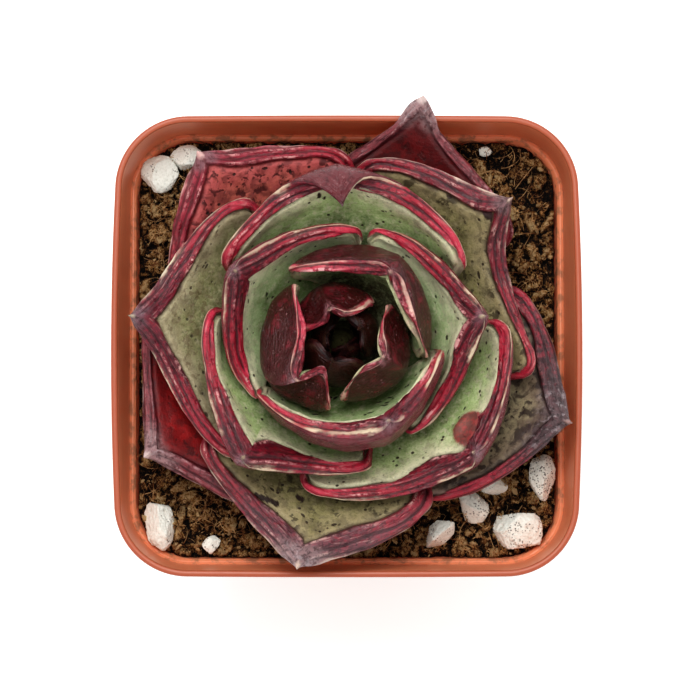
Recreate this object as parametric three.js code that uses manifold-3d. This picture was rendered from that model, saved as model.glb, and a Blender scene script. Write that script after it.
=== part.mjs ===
// A potted echeveria: one rosette of fleshy, red-edged leaves on a short stem, in a square nursery pot of
// gritty soil. Millimetres, +Z up, with the origin at the middle of the pot's underside.
// Every leaf is a solid of its own. Each lies on its own bowl, a surface of revolution about the stem, and
// the bowls nest inside one another, so that neighbours lap closely and never cross.
import * as THREE from "three";
import { mergeVertices } from "three/addons/utils/BufferGeometryUtils.js";
import Module from "manifold-3d";

const wasm = await Module();
wasm.setup();

// Pot
const potHeight = 53;
const rimHalfX = 28.4;
const rimHalfY = 28.2;
const rimCorner = 9;
const rimBow = 0.45;
const wall = 0.8;
const lipRound = 0.25;
const collarHeight = 10;
const collarDraft = 0.7;
const ledge = 0.7;
const footHalf = 20.5;
const footCorner = 6.5;
const footRound = 0.6;
const floorThickness = 1.2;
const floorFillet = 1;
const drainRadius = 2.6;
const drainSpread = 10.5;

// Soil and perlite
const soilTop = 43.4;
const soilRelief = 0.55;
const soilRings = [1, 0.96, 0.91, 0.86, 0.8, 0.73, 0.64, 0.5, 0.32, 0.14];
const fit = 0.3;

// Stem
const stemBottom = 33;
const stemRadius = 4.4;
const stemTaper = 4;

// Plant: where it stands and how its leaves spiral
const plantX = -0.6;
const plantY = 0.5;
const goldenAngle = 137.5;
const firstAzimuth = 70;

// Leaf outline: the half width at the base as a share of the span, the height at which the flanks reach
// their full width as a share of the leaf's length, and the small point at the tip
const baseWidth = 0.5;
const sideTop = 0.52;
const cusp = 0.045;
const pointing = 2;

// Leaf section: thickness at the base, at its edge and at the thinnest; edge, flank and flare as shares of
// the keel; how far the flanks are cupped; and where along the leaf it is fully thick and its flanks close
const baseThickness = 1.1;
const baseEdge = 0.8;
const thinnest = 0.65;
const fullFrom = 0.5;
const edgeShare = 0.66;
const flankShare = 0.5;
const tipWiden = 1.5;
const cup = 0.25;
const faceShare = 0.4;
const flareShare = 0.36;
const pinchFrom = 0.55;
const pinchLength = 0.35;

// The bowls of some leaves, outermost first; the others lie between. Each profile leaves the stem at
// (baseR, baseZ) sloping by lean degrees, and ends at the leaf's tip, (tipR, tipZ), sloping by tipLean.
const bowls = [
  { leaf: 0, baseR: 4.9, baseZ: 45.4, lean: -3, pull: 0.38, tipR: 30.2, tipZ: 56, tipLean: 36, keel: 2.2 },
  { leaf: 3, baseR: 4.9, baseZ: 46.9, lean: 5, pull: 0.38, tipR: 28.4, tipZ: 58.4, tipLean: 45, keel: 2.6 },
  { leaf: 6, baseR: 4.7, baseZ: 48.3, lean: 13, pull: 0.4, tipR: 25.1, tipZ: 61.5, tipLean: 56, keel: 2.9 },
  { leaf: 9, baseR: 4.3, baseZ: 49.7, lean: 20, pull: 0.42, tipR: 18.9, tipZ: 65.2, tipLean: 70, keel: 2.9 },
  { leaf: 11, baseR: 3.9, baseZ: 50.7, lean: 26, pull: 0.45, tipR: 14.6, tipZ: 67.3, tipLean: 86, keel: 2.9 },
  { leaf: 12, baseR: 3.7, baseZ: 51.2, lean: 30, pull: 0.47, tipR: 11.1, tipZ: 68.2, tipLean: 104, keel: 3.6 },
  { leaf: 16, baseR: 2.7, baseZ: 53.1, lean: 45, pull: 0.47, tipR: 3.1, tipZ: 65.8, tipLean: 118, keel: 2.6 },
  { leaf: 20, baseR: 1.3, baseZ: 54.9, lean: 62, pull: 0.42, tipR: 0.7, tipZ: 61.3, tipLean: 118, keel: 1.5 },
];

// The leaves, outermost first. turn nudges a leaf off the golden-angle spiral and skew turns its tip, both
// in degrees. reach scales its length. pinch draws its flanks towards the stem, halfway out and at the ends.
// left and right give its half span in degrees, left being counter-clockwise from above, the height of its
// shoulder as a share of its length, and how much the shoulder climbs towards its end.
const leaves = [
  { turn: 0, skew: 1.5, reach: 1.01, pinch: [0, 0], left: [40, 0.56, 0], right: [42, 0.76, 0.08] },
  { turn: 0, skew: 3, reach: 0.92, pinch: [0, 0], left: [42, 0.78, 0], right: [44, 0.78, 0.1] },
  { turn: -6, skew: 1, reach: 1.01, pinch: [0, 0], left: [42, 0.81, -0.1], right: [46, 0.82, -0.16] },
  { turn: 4, skew: 1, reach: 1, pinch: [0, 0], left: [42, 0.78, -0.1], right: [42, 0.78, 0] },
  { turn: -3, skew: 2, reach: 1.03, pinch: [0, 0.05], left: [46, 0.82, 0], right: [44, 0.7, 0.05] },
  { turn: 0, skew: 2, reach: 1.01, pinch: [0.02, 0.05], left: [50, 0.86, 0], right: [52, 0.52, 0.56] },
  { turn: 0, skew: -1, reach: 1.02, pinch: [0.04, 0.08], left: [54, 0.72, 0.06], right: [54, 0.82, 0.1] },
  { turn: -1, skew: 9, reach: 0.95, pinch: [0.02, 0.06], left: [58, 0.93, 0.04], right: [60, 0.74, 0.1] },
  { turn: 0, skew: 3, reach: 1.06, pinch: [0.05, 0.1], left: [60, 0.76, 0.06], right: [62, 0.84, 0.06] },
  { turn: -2, skew: 6, reach: 1.02, pinch: [0.06, 0.07], left: [60, 0.7, 0.1], right: [61, 0.8, 0.1] },
  { turn: 4, skew: -1, reach: 1, pinch: [0.07, 0.08], left: [68, 0.66, 0], right: [66, 0.64, 0.06] },
  { turn: 5, skew: 1, reach: 1, pinch: [0.06, 0.06], left: [70, 0.74, -0.2], right: [70, 0.72, 0.06] },
  { turn: 3, skew: 16, reach: 1, pinch: [0.06, 0], left: [72, 0.88, 0], right: [74, 0.88, 0] },
  { turn: 1, skew: -6, reach: 1, pinch: [0.16, 0], left: [72, 0.88, 0], right: [74, 0.88, 0] },
  { turn: 0, skew: 30, reach: 1, pinch: [0.4, 0], left: [68, 0.9, 0], right: [68, 0.9, 0] },
  { turn: 0, skew: 0, reach: 1, pinch: [0.25, 0], left: [66, 0.9, 0], right: [66, 0.9, 0] },
  { turn: 0, skew: 4, reach: 1, pinch: [0.35, 0], left: [64, 0.9, 0], right: [64, 0.9, 0] },
  { turn: 0, skew: 0, reach: 1, pinch: [0.2, 0], left: [66, 0.9, 0], right: [66, 0.9, 0] },
  { turn: 0, skew: 0, reach: 1, pinch: [0.1, 0], left: [66, 0.9, 0], right: [66, 0.9, 0] },
  { turn: 0, skew: 0, reach: 1, pinch: [0.1, 0], left: [66, 0.9, 0], right: [66, 0.9, 0] },
  { turn: 0, skew: 0, reach: 1, pinch: [0.1, 0], left: [66, 0.9, 0], right: [66, 0.9, 0] },
];
const longPoints = [[5, 0.12], [6, 0.1]];
const firstBudLeaf = 17;
const firstRedLeaf = 12;

// Perlite grains: where each lies, its half sizes, and how far it is turned.
const grains = [
  { x: -23.6, y: 21.8, z: 43.9, size: [1.9, 1.7, 1.3], spin: 0.9 },
  { x: -20.3, y: 23.6, z: 43.8, size: [1.5, 1.1, 1.1], spin: 0.3 },
  { x: -23.3, y: -21.8, z: 44, size: [1.7, 2.9, 1.7], spin: 0 },
  { x: -16.8, y: -24.3, z: 43.6, size: [1.1, 0.9, 0.8], spin: 0.7 },
  { x: 11.4, y: -22.8, z: 43.9, size: [1.9, 1.6, 1.5], spin: 1.2 },
  { x: 15.6, y: -19.6, z: 43.8, size: [2, 1.7, 1.5], spin: 2.3 },
  { x: 18.4, y: -17.1, z: 43.6, size: [1.5, 1, 1], spin: 0.2 },
  { x: 24.2, y: -15.8, z: 43.9, size: [1.7, 2.7, 1.6], spin: 0.1 },
  { x: 21.3, y: -22.5, z: 44.1, size: [2.8, 2.6, 2.2], spin: 2.8 },
  { x: 17.3, y: 24.8, z: 43.6, size: [0.9, 0.8, 0.7], spin: 1 },
];

// Colours
const terracotta = 0xc4623a;
const peat = 0x3a2c22;
const stemGreen = 0x8a8f6a;
const leafGreen = new THREE.Color(0x6d7f5c);
const leafRed = new THREE.Color(0x4a2022);
const perliteWhite = 0xe6e0d6;

const radians = THREE.MathUtils.degToRad;
const mix = THREE.MathUtils.lerp;
const ease = (x) => THREE.MathUtils.smoothstep(x, 0, 1);
const up = new THREE.Vector3(0, 0, 1);
const collarBottom = potHeight - collarHeight;
const weld = 1e-4;
const group = new THREE.Group();

function addMesh(name, geometry, color, roughness) {
  const mesh = new THREE.Mesh(geometry, new THREE.MeshStandardMaterial({ color, roughness, metalness: 0 }));
  mesh.name = name;
  group.add(mesh);
}

function numbered(name, index) {
  return name + "_" + String(index + 1).padStart(2, "0");
}

// Joins and cuts

function solidFrom(geometry) {
  const bare = new THREE.BufferGeometry().setAttribute("position", geometry.getAttribute("position"));
  if (geometry.index) bare.setIndex(geometry.index);
  const merged = mergeVertices(bare, weld);
  return new wasm.Manifold(
    new wasm.Mesh({
      numProp: 3,
      vertProperties: merged.attributes.position.array,
      triVerts: new Uint32Array(merged.index.array),
    }),
  );
}

function geometryFrom(solid) {
  const mesh = solid.getMesh();
  return new THREE.BufferGeometry()
    .setAttribute("position", new THREE.BufferAttribute(mesh.vertProperties, 3))
    .setIndex(new THREE.BufferAttribute(mesh.triVerts, 1))
    .toNonIndexed();
}

// A closed skin over rings of points, all with the same count. A fan closes it at either end.
function skinRings(rings) {
  const count = rings[0].length;
  const positions = rings.flat().flatMap((p) => p.toArray());
  const faces = [];
  for (let ring = 0; ring + 1 < rings.length; ring++) {
    for (let i = 0; i < count; i++) {
      const a = ring * count + i;
      const b = ring * count + ((i + 1) % count);
      faces.push(a, b, b + count, a, b + count, a + count);
    }
  }
  for (const ring of [0, rings.length - 1]) {
    const middle = new THREE.Vector3();
    rings[ring].forEach((p) => middle.addScaledVector(p, 1 / count));
    const hub = positions.length / 3;
    positions.push(...middle.toArray());
    for (let i = 0; i < count; i++) {
      const a = ring * count + i;
      const b = ring * count + ((i + 1) % count);
      faces.push(hub, ...(ring ? [a, b] : [b, a]));
    }
  }
  return new THREE.BufferGeometry()
    .setAttribute("position", new THREE.Float32BufferAttribute(positions, 3))
    .setIndex(faces);
}

// Pot

// A level ring, counter-clockwise from above: a square with round corners whose left and right sides bow
// out, and its other two a little. inset moves it inwards by the same distance all round.
function squareRing(z, { halfX, halfY, corner, bow = 0, inset = 0, sideSteps = 4, cornerSteps = 6 }) {
  const points = [];
  const round = Math.max(corner - inset, 0.5);
  for (let side = 0; side < 4; side++) {
    const out = (side % 2 ? halfY : halfX) - inset;
    const along = (side % 2 ? halfX : halfY) - inset - round;
    const belly = side % 2 ? bow * 0.2 : bow;
    const turned = (x, y) => points.push(new THREE.Vector3(x, y, z).applyAxisAngle(up, (side * Math.PI) / 2));
    for (let i = 0; i < sideSteps; i++) {
      const share = (2 * i) / sideSteps - 1;
      turned(out + belly * (1 - share * share), share * along);
    }
    for (let i = 0; i < cornerSteps; i++) {
      const angle = ((i / cornerSteps) * Math.PI) / 2;
      turned(out - round + round * Math.cos(angle), along + round * Math.sin(angle));
    }
  }
  return points;
}

// The pot's outside at a height, below the collar or on it.
function potOutline(z, onCollar) {
  if (onCollar) {
    const drop = (potHeight - z) / collarHeight;
    const draft = collarDraft * drop;
    const bow = rimBow * (1 - drop);
    return { halfX: rimHalfX - draft, halfY: rimHalfY - draft, corner: rimCorner - draft, bow };
  }
  const share = z / collarBottom;
  const topInset = collarDraft + ledge;
  return {
    halfX: mix(footHalf, rimHalfX - topInset, share),
    halfY: mix(footHalf, rimHalfY - topInset, share),
    corner: mix(footCorner, rimCorner - topInset, share),
  };
}

function buildPot() {
  const ring = (z, onCollar, inset) => squareRing(z, { ...potOutline(z, onCollar), inset });
  const rings = [
    ring(0, false, footRound),
    ring(footRound, false, 0),
    ring(collarBottom, false, 0),
    ring(collarBottom, true, 0),
    ring(potHeight - lipRound, true, 0),
    ring(potHeight, true, lipRound),
    ring(potHeight, true, wall - lipRound),
    ring(potHeight - lipRound, true, wall),
    ring(collarBottom + wall, true, wall),
    ring(collarBottom + wall, false, wall),
    ring(floorThickness + floorFillet, false, wall),
    ring(floorThickness, false, wall + floorFillet),
  ];
  let pot = solidFrom(skinRings(rings));
  for (const [x, y] of [[1, 1], [-1, 1], [-1, -1], [1, -1]]) {
    const cutter = new THREE.CylinderGeometry(drainRadius, drainRadius, 10 * floorThickness, 24);
    cutter.rotateX(Math.PI / 2).translate(x * drainSpread, y * drainSpread, 0);
    pot = pot.subtract(solidFrom(cutter));
  }
  return geometryFrom(pot);
}

// Soil and perlite

// A lump of perlite: a ball pushed in and out by a few slow waves, then scaled and turned.
function grainGeometry(grain, index, grow) {
  const geometry = new THREE.IcosahedronGeometry(1, 1);
  const position = geometry.getAttribute("position");
  const p = new THREE.Vector3();
  for (let i = 0; i < position.count; i++) {
    p.fromBufferAttribute(position, i);
    const [u, v, w] = [3.1 * p.x + 1.7 * index, 3.7 * p.y + 2.3 * index, 2.9 * p.z - index];
    p.multiplyScalar(0.9 + 0.07 * (Math.sin(u) + Math.sin(v) + Math.sin(w)));
    position.setXYZ(i, p.x, p.y, p.z);
  }
  const [sx, sy, sz] = grain.size;
  geometry.scale(sx + grow, sy + grow, sz + grow).rotateZ(grain.spin);
  return geometry.translate(grain.x, grain.y, grain.z);
}

// The height of the soil at a point: broad clumps with a crumb of its own at each point.
function soilHeight(p, crumb, atEdge) {
  if (atEdge) return soilTop - 0.6 + 0.2 * crumb;
  const clumps = Math.sin(1.1 * p.x + 0.4 * p.y) + Math.sin(1.3 * p.y - 0.5 * p.x + 1);
  return soilTop + soilRelief * (0.35 * clumps + crumb - 0.5);
}

function buildSoil() {
  const fine = { sideSteps: 10, cornerSteps: 9 };
  const ring = (z, inset) => squareRing(z, { ...potOutline(z, false), inset: wall + fit + inset, ...fine });
  const floor = floorThickness + fit;
  const rings = [ring(floor, floorFillet), ring(floor + floorFillet, 0), ring(soilTop - 0.8, 0)];
  for (const share of soilRings) {
    const level = ring(soilTop - 0.4, 0);
    level.forEach((p, i) => {
      p.x *= share;
      p.y *= share;
      p.z = soilHeight(p, THREE.MathUtils.seededRandom(rings.length * 1000 + i), share === 1);
    });
    rings.push(level);
  }
  let soil = solidFrom(skinRings(rings));
  const depth = 30;
  const hole = new THREE.CylinderGeometry(stemRadius + fit, stemRadius + fit, depth, 32).rotateX(Math.PI / 2);
  soil = soil.subtract(solidFrom(hole.translate(plantX, plantY, stemBottom - fit + depth / 2)));
  grains.forEach((grain, index) => {
    soil = soil.subtract(solidFrom(grainGeometry(grain, index, fit)));
  });
  return geometryFrom(soil);
}

// Plant

function bowlOf(index) {
  const after = Math.max(bowls.findIndex((bowl) => bowl.leaf >= index), 1);
  const [a, b] = [bowls[after - 1], bowls[after]];
  const share = (index - a.leaf) / (b.leaf - a.leaf);
  return Object.fromEntries(Object.keys(a).map((key) => [key, mix(a[key], b[key], share)]));
}

function profileOf(bowl) {
  const from = new THREE.Vector2(bowl.baseR, bowl.baseZ);
  const to = new THREE.Vector2(bowl.tipR, bowl.tipZ);
  const pull = bowl.pull * from.distanceTo(to);
  const leave = new THREE.Vector2(pull, 0).rotateAround(new THREE.Vector2(), radians(bowl.lean));
  const arrive = new THREE.Vector2(pull, 0).rotateAround(new THREE.Vector2(), radians(bowl.tipLean));
  return new THREE.CubicBezierCurve(from, from.clone().add(leave), to.clone().sub(arrive), to);
}

// How far up its bowl a leaf's margin lies, as a share of the profile. Its tip ends in a small point.
function marginShare(index, across) {
  const leaf = leaves[index];
  const away = Math.abs(across);
  const [, shoulder, climb] = across > 0 ? leaf.left : leaf.right;
  const rounding = Math.sqrt(Math.max(1 - away ** 12, 0));
  const spur = new Map(longPoints).get(index) ?? cusp;
  const point = (1 - shoulder - spur) * (1 - away) ** pointing + spur * (1 - away) ** 10;
  return leaf.reach * (mix(sideTop, shoulder + climb * away ** 2, rounding) + point);
}

// How thick a leaf is: most along its keel, less towards its base, its flanks and its margin, where it
// ends in a blunt edge.
function thicknessAt(bowl, share, along, away) {
  const grown = ease(share / fullFrom);
  const keel = mix(baseThickness, bowl.keel, grown) * mix(1, 0.8, ease((share - 0.6) / 0.4));
  const tipEdge = mix(1, tipWiden, (1 - away) ** 3) * mix(1, 0.5, ((1 - away) * along) ** 14);
  const edge = mix(baseEdge, edgeShare * bowl.keel, grown) * mix(1, 0.4, away ** 4) * tipEdge;
  const inner = (1 - along ** 5) * (1 - away ** 3);
  return Math.max(mix(edge, keel * mix(1, flankShare, ease(away / 0.8)), inner), thinnest);
}

// A point of a leaf. along runs 0..1 from base to margin, across -1..1 from the right edge to the left one,
// and layer is -1 on the back of the leaf and 1 on its face. The back reaches further out than the face, so
// that the blunt edge shows from above.
function leafPoint(index, bowl, profile, along, across, layer) {
  const leaf = leaves[index];
  const away = Math.abs(across);
  const span = radians((across > 0 ? leaf.left : leaf.right)[0]);
  const share = along * marginShare(index, across);
  const grown = ease(share / fullFrom);
  const thickness = thicknessAt(bowl, share, along, away);
  const offset = cup * away ** 2 * grown + thickness * layer * (layer > 0 ? faceShare : 1 - faceShare);
  const flare = flareShare * bowl.keel * grown * ((layer + 1) / 2);
  const stride = 1.1 * profile.getPoint(0).distanceTo(profile.getPoint(1));
  const back = share - (flare * along ** 3) / stride;
  const at = profile.getPoint(back);
  const slope = profile.getPoint(back + 1e-3).sub(profile.getPoint(back - 1e-3)).normalize();
  const [middlePinch, endPinch] = leaf.pinch;
  const pinched = middlePinch * 4 * away * (1 - away) + endPinch * away ** 2;
  const flank = 1 - pinched * ease((share - pinchFrom) / pinchLength);
  const r = (at.x - slope.y * offset) * flank;
  const z = at.y + slope.x * offset;
  const width = mix(baseWidth, 1, ease(share / sideTop)) * span * across;
  const narrowed = width * (1 - flare / Math.max(at.x * span, flare * 2));
  const twist = leaf.skew * along ** 2 * (1 - away);
  const heading = radians(firstAzimuth + goldenAngle * index + leaf.turn + twist);
  const p = new THREE.Vector3(r, 0, z).applyAxisAngle(up, heading + narrowed);
  return p.add(new THREE.Vector3(plantX, plantY, 0));
}

// A leaf is a box of a few faces, bent into shape point by point.
function buildLeaf(index) {
  const bowl = bowlOf(index);
  const profile = profileOf(bowl);
  const inBud = index >= firstBudLeaf;
  const box = new THREE.BoxGeometry(1, 2, 2, inBud ? 6 : 8, inBud ? 8 : 12, 1);
  box.deleteAttribute("normal");
  box.deleteAttribute("uv");
  const geometry = mergeVertices(box.translate(0.5, 0, 0), weld);
  const position = geometry.getAttribute("position");
  for (let i = 0; i < position.count; i++) {
    const [x, y, layer] = [position.getX(i), position.getY(i), position.getZ(i)];
    const across = Math.sign(y) * ease(Math.abs(y));
    const p = leafPoint(index, bowl, profile, x, across, layer);
    position.setXYZ(i, p.x, p.y, p.z);
  }
  return geometry.toNonIndexed();
}

// The stem: a post in the soil, topped by a cone just inside the leaf bases.
function buildStem() {
  const profile = [
    new THREE.Vector2(0, stemBottom),
    new THREE.Vector2(stemRadius - 1, stemBottom),
    new THREE.Vector2(stemRadius, stemBottom + stemTaper),
    new THREE.Vector2(stemRadius, bowls[0].baseZ),
  ];
  for (let index = 0; index < leaves.length; index += 3) {
    const bowl = bowlOf(index);
    const rise = Math.sin(radians(Math.max(bowl.lean, 0)));
    const clear = fit + (1 - faceShare) * baseThickness * rise;
    profile.push(new THREE.Vector2(Math.min(bowl.baseR - clear, stemRadius), bowl.baseZ + fit));
  }
  profile.push(new THREE.Vector2(0, bowlOf(leaves.length - 1).baseZ + 4 * fit));
  return new THREE.LatheGeometry(profile, 24).rotateX(Math.PI / 2).translate(plantX, plantY, 0);
}

addMesh("pot", buildPot(), terracotta, 0.5);
addMesh("soil", buildSoil(), peat, 0.95);
addMesh("stem", buildStem(), stemGreen, 0.7);
leaves.forEach((leaf, index) => {
  const redness = Math.max(index - firstRedLeaf, 0) / 8;
  addMesh(numbered("leaf", index), buildLeaf(index), leafGreen.clone().lerp(leafRed, redness), 0.6);
});
grains.forEach((grain, index) => {
  addMesh(numbered("perlite", index), grainGeometry(grain, index, 0), perliteWhite, 0.9);
});

export default group;
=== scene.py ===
# Looks for a potted echeveria: waxy red-edged leaves, gritty soil and a terracotta-coloured plastic pot.
# Lengths are millimetres in the dictionaries and metres in the meshes.
import math
import random

import bmesh
import bpy
import numpy as np
from mathutils import Euler, Matrix, Vector, noise


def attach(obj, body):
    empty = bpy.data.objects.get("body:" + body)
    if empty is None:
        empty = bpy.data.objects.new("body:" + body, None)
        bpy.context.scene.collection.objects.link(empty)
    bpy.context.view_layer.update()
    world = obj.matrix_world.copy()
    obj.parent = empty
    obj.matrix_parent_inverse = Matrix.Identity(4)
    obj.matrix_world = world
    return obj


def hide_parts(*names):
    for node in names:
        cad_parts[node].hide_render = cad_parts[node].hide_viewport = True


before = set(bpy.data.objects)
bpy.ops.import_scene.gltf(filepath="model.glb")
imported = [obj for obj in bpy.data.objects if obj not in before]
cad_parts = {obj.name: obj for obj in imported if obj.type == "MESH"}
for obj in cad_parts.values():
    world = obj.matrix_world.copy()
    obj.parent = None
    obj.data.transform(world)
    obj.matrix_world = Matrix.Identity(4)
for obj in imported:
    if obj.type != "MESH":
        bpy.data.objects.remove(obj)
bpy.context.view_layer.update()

mm = 0.001
rng = random.Random(7)


def ease(x):
    x = np.clip(x, 0, 1)
    return x * x * (3 - 2 * x)


def mix(a, b, share):
    return a + (b - a) * share


def between(x, low, high):
    return ease((x - low) / (high - low))


def bell(x, middle, width):
    return np.exp(-(((x - middle) / width) ** 2))


def linear(rgb):
    # an sRGB colour of 0..255 as the linear colour that a shader takes
    shares = [c / 255 for c in rgb]
    return [s / 12.92 if s <= 0.04045 else ((s + 0.055) / 1.055) ** 2.4 for s in shares] + [1]


# shader helpers


class Flow:
    # one output of a node; arithmetic on it adds Math nodes
    def __init__(self, paint, socket):
        self.paint = paint
        self.socket = socket

    def math(self, operation, *others):
        inputs = dict(enumerate([self, *others]))
        return self.paint.node("ShaderNodeMath", {"operation": operation}, inputs)

    def __add__(self, other):
        return self.math("ADD", other)

    def __sub__(self, other):
        return self.math("SUBTRACT", other)

    def __rsub__(self, other):
        return self.paint.value(other).math("SUBTRACT", self)

    def __mul__(self, other):
        return self.math("MULTIPLY", other)

    __radd__ = __add__
    __rmul__ = __mul__

    def between(self, low, high):
        # 0 below low and 1 above high, smooth between; low may be the larger
        return self.paint.node("ShaderNodeMapRange", {"interpolation_type": "SMOOTHSTEP"},
                               {"Value": self, "From Min": low, "From Max": high})

    def clamp(self):
        return self.paint.node("ShaderNodeClamp", {}, {"Value": self})


class Paint:
    # a material and its nodes
    def __init__(self, name):
        self.material = bpy.data.materials.new(name)
        self.material.use_nodes = True
        self.tree = self.material.node_tree
        self.shader = self.tree.nodes["Principled BSDF"]
        self.count = 0

    def plug(self, socket, value):
        if isinstance(value, Flow):
            self.tree.links.new(value.socket, socket)
        else:
            socket.default_value = value

    def node(self, kind, settings, inputs, output=0):
        made = self.tree.nodes.new(kind)
        made.location = (-1800 + 170 * (self.count % 9), 900 - 190 * (self.count // 9))
        self.count += 1
        stops = settings.pop("stops", None)
        for key, value in settings.items():
            setattr(made, key, value)
        if stops:
            elements = made.color_ramp.elements
            while len(elements) < len(stops):
                elements.new(1)
            for element, (place, colour) in zip(elements, stops):
                element.position = place
                element.color = colour
        for key, value in inputs.items():
            self.plug(made.inputs[key], value)
        return Flow(self, made.outputs[output])

    def value(self, number):
        return self.node("ShaderNodeMath", {"operation": "ADD"}, {0: number, 1: 0})

    def mix(self, share, a, b, blend="MIX"):
        return self.node("ShaderNodeMix", {"data_type": "RGBA", "blend_type": blend},
                         {0: share, 6: a, 7: b}, 2)

    def layers(self, colour, *coats):
        # lays each coat's colour over the ones before it, by the coat's share
        for share, over in coats:
            colour = self.mix(share, colour, over)
        return colour

    def attribute(self, name):
        return self.node("ShaderNodeAttribute", {"attribute_name": name}, {}, "Fac")

    def place(self, scale=(1000, 1000, 1000)):
        # Object coordinates, in millimetres unless another scale is given
        at = self.node("ShaderNodeTexCoord", {}, {}, "Object")
        return self.node("ShaderNodeVectorMath", {"operation": "MULTIPLY"}, {0: at, 1: scale})

    def vector(self, x, y, z=0):
        return self.node("ShaderNodeCombineXYZ", {}, {0: x, 1: y, 2: z})

    def noise(self, at, scale, detail=3, rough=0.55, distortion=0):
        return self.node("ShaderNodeTexNoise", {}, {
            "Vector": at, "Scale": scale, "Detail": detail, "Roughness": rough, "Distortion": distortion})

    def cells(self, at, scale, feature="F1", output="Distance"):
        return self.node("ShaderNodeTexVoronoi", {"feature": feature}, {"Vector": at, "Scale": scale}, output)

    def bump(self, height, distance, strength=1):
        return self.node("ShaderNodeBump", {}, {"Height": height, "Distance": distance, "Strength": strength})

    def finish(self, **sockets):
        # names are written with _ for each space
        for name, value in sockets.items():
            self.plug(self.shader.inputs[name.replace("_", " ")], value)
        return self.material


def newPiece(name, bm, material, smooth=True):
    mesh = bpy.data.meshes.new(name)
    bm.to_mesh(mesh)
    bm.free()
    mesh.polygons.foreach_set("use_smooth", [smooth] * len(mesh.polygons))
    piece = bpy.data.objects.new(name, mesh)
    bpy.context.scene.collection.objects.link(piece)
    mesh.materials.append(material)
    return piece


def storeValues(piece, name, values):
    attribute = piece.data.attributes.new(name, "FLOAT", "POINT")
    attribute.data.foreach_set("value", np.asarray(values, np.float32))


def pour(source, target):
    mesh = bpy.data.meshes.new("part")
    source.to_mesh(mesh)
    source.free()
    target.from_mesh(mesh)
    bpy.data.meshes.remove(mesh)


def heap(count, makeOne, batchSize=60):
    # many small shapes as one bmesh, gathered in batches so that it stays quick
    whole = bmesh.new()
    for start in range(0, count, batchSize):
        batch = bmesh.new()
        for _ in range(start, min(start + batchSize, count)):
            one = bmesh.new()
            makeOne(one)
            pour(one, batch)
        pour(batch, whole)
    return whole


def pointsOf(bm):
    return np.array([v.co for v in bm.verts], float).reshape(-1, 3)


def movePoints(bm, points):
    for vertex, point in zip(bm.verts, points):
        vertex.co = point


# camera, light and floor

studio = {
    "cameraPlace": (0.4, -22, 503),   # the photo looks almost straight down
    "cameraTilt": 2.73,               # degrees
    "viewWidth": 85.4,                # what the frame spans at the pot's rim
    "rimHeight": 53,
    "look": "Medium High Contrast",
    "sky": 0.8,
    "keyPower": 1.4,
    "keyPlace": (-40, 170, 500),
    "keySize": 280,
    "floorColour": (243, 247, 246),
    "floorShade": 0.985,              # how much darker its faint clouds are
    "floorGlow": 0.3,
    "floorHalf": 1500,
    "nearest": 10,                    # the camera sees nothing closer than this
}


def addLight(name, place, size, power):
    light = bpy.data.lights.new(name, "AREA")
    light.shape = "DISK"
    light.size = size * mm
    light.energy = power
    lamp = bpy.data.objects.new(name, light)
    lamp.location = Vector(place) * mm
    aim = Vector((0, 0, studio["rimHeight"] * mm)) - lamp.location
    lamp.rotation_euler = aim.to_track_quat("-Z", "Y").to_euler()
    bpy.context.scene.collection.objects.link(lamp)


def makeStudio():
    scene = bpy.context.scene
    scene.view_settings.view_transform = "Standard"
    scene.view_settings.look = studio["look"]
    world = bpy.data.worlds.new("studio")
    world.use_nodes = True
    sky = world.node_tree.nodes["Background"]
    sky.inputs["Color"].default_value = (1, 1, 1, 1)
    sky.inputs["Strength"].default_value = studio["sky"]
    scene.world = world
    addLight("key", studio["keyPlace"], studio["keySize"], studio["keyPower"])
    camera = bpy.data.objects.new("camera", bpy.data.cameras.new("camera"))
    camera.location = Vector(studio["cameraPlace"]) * mm
    camera.rotation_euler = Euler((math.radians(studio["cameraTilt"]), 0, 0))
    distance = studio["cameraPlace"][2] - studio["rimHeight"]
    camera.data.lens = camera.data.sensor_width * distance / studio["viewWidth"]
    camera.data.clip_start = studio["nearest"] * mm
    scene.collection.objects.link(camera)
    scene.camera = camera
    paint = Paint("pale floor")
    cloudy = paint.noise(paint.place(), 0.03)
    pale = linear(studio["floorColour"])
    paper = paint.mix(cloudy, pale, [c * studio["floorShade"] for c in pale[:3]] + [1])
    bm = bmesh.new()
    bmesh.ops.create_grid(bm, x_segments=4, y_segments=4, size=studio["floorHalf"] * mm)
    floor = newPiece("floor", bm, paint.finish(
        Base_Color=paper, Roughness=0.9, Emission_Color=paper, Emission_Strength=studio["floorGlow"]))


makeStudio()
print("studio ready")

# pot

pot = {
    "height": 53, "rimHalf": (28.4, 28.2), "rimCorner": 9, "rimBow": 0.45, "bowShares": (1, 0.2),
    "wall": 0.8, "lipRound": 0.32, "collarHeight": 10, "collarDraft": 0.7, "ledge": 0.7, "ledgeRound": 0.25,
    "footHalf": 20.5, "footCorner": 6.5, "footRound": 0.9, "floor": 1.2, "floorFillet": 1,
    "leastCorner": 0.5, "drainRadius": 2.6, "drainSpread": 10.5, "drainDepth": 8, "drainSegments": 40,
    "sideSteps": 16, "cornerSteps": 20, "roundSteps": 5,
    "sideRings": (6, 14, 22, 30, 38), "collarRings": (46, 49, 51.5), "innerRings": (41, 30, 16),
    # inside is the same plastic painted lighter: painted light on the inner walls
    "inside": (234, 150, 110), "outside": (168, 84, 56), "worn": (206, 132, 104),
    # lip is the plastic painted darker on the top of the lip: painted shade
    "lip": (160, 82, 56), "lipShadeBand": (0.55, 0.2), "dust": (120, 92, 70), "dustBand": (45.5, 43.2),
    "glow": 0.32, "glowReach": (2, 1.6, 1.3),   # how much light the thin plastic lets through
    "sharpAngle": 40,
}


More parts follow.
